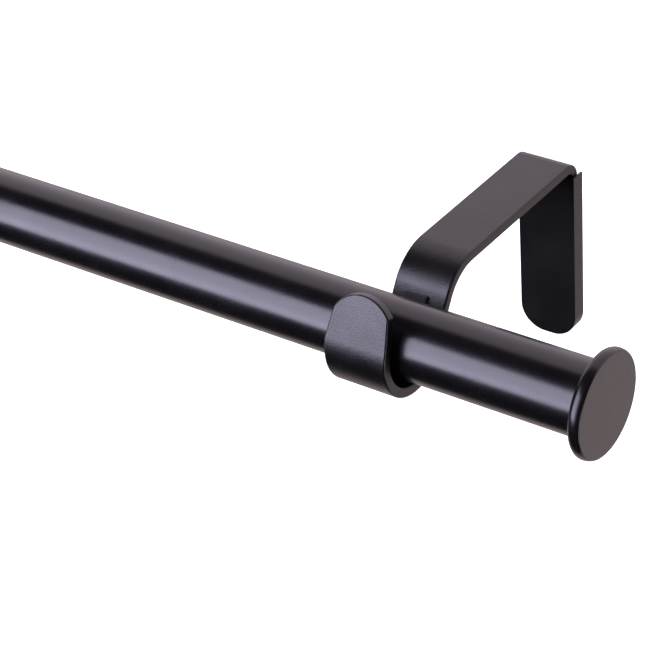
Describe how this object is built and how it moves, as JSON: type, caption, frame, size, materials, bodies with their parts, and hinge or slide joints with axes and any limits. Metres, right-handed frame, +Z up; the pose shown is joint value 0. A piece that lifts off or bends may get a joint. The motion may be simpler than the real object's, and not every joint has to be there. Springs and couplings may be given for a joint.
{
  "type": "curtain rod with brackets",
  "caption": "Round telescoping curtain rod with flat disc end caps, resting in two hook brackets bent from flat bar with slide-on wall covers.",
  "frame": {"origin": "middle of the wall side of the right bracket's wall plate, in the plane of the wall", "axes": "+X along the rod towards its right end, +Y into the wall, +Z up"},
  "size_m": [0.762, 0.1252, 0.0823],
  "materials": {
    "rod_enamel": "smooth satin black enamel",
    "cap_enamel": "smooth satin black enamel, slightly warm",
    "bracket_enamel": "fine-grained satin black powder coat",
    "rubber": "matte black",
    "black_plastic": "moulded, satin",
    "zinc_steel": "bright zinc plate"
  },
  "bodies": {
    "wall_bracket_right": {"bracket_right": "bracket_enamel", "grip_pad_right": "rubber", "wall_plate_right": "zinc_steel", "plate_screw_right": "zinc_steel"},
    "cover_right": {"leg_cover_right": "bracket_enamel"},
    "wall_bracket_left": {"bracket_left": "bracket_enamel", "grip_pad_left": "rubber", "wall_plate_left": "zinc_steel", "plate_screw_left": "zinc_steel"},
    "cover_left": {"leg_cover_left": "bracket_enamel"},
    "outer_rod": {"outer_tube": "rod_enamel", "mouth_collar": "black_plastic"},
    "inner_rod": {"inner_tube": "rod_enamel", "glide_plug": "black_plastic"},
    "cap_right": {"cap_disc_right": "cap_enamel", "cap_plug_right": "black_plastic", "cap_screw_right": "zinc_steel"},
    "cap_left": {"cap_disc_left": "cap_enamel", "cap_plug_left": "black_plastic", "cap_screw_left": "zinc_steel"}
  },
  "joints": [
    {"name": "rod_lift", "type": "slide", "parent": "wall_bracket_right", "child": "outer_rod", "axis": [0, 0.309, 0.9511], "range_m": [0, 0.045]},
    {"name": "rod_extend", "type": "slide", "parent": "outer_rod", "child": "inner_rod", "axis": [-1, 0, 0], "range_m": [0, 0.508]},
    {"name": "bracket_spacing", "type": "slide", "parent": "wall_bracket_right", "child": "wall_bracket_left", "axis": [-1, 0, 0], "range_m": [0, 0.508]},
    {"name": "cap_right_pull", "type": "slide", "parent": "outer_rod", "child": "cap_right", "axis": [1, 0, 0], "range_m": [0, 0.03]},
    {"name": "cap_left_pull", "type": "slide", "parent": "inner_rod", "child": "cap_left", "axis": [-1, 0, 0], "range_m": [0, 0.03]},
    {"name": "cover_right_slide", "type": "slide", "parent": "wall_bracket_right", "child": "cover_right", "axis": [0, 0, -1], "range_m": [0, 0.07]},
    {"name": "cover_left_slide", "type": "slide", "parent": "wall_bracket_left", "child": "cover_left", "axis": [0, 0, -1], "range_m": [0, 0.07]}
  ],
  "couplings": [
    {"joint": "bracket_spacing", "follows": "rod_extend", "ratio": 1}
  ]
}
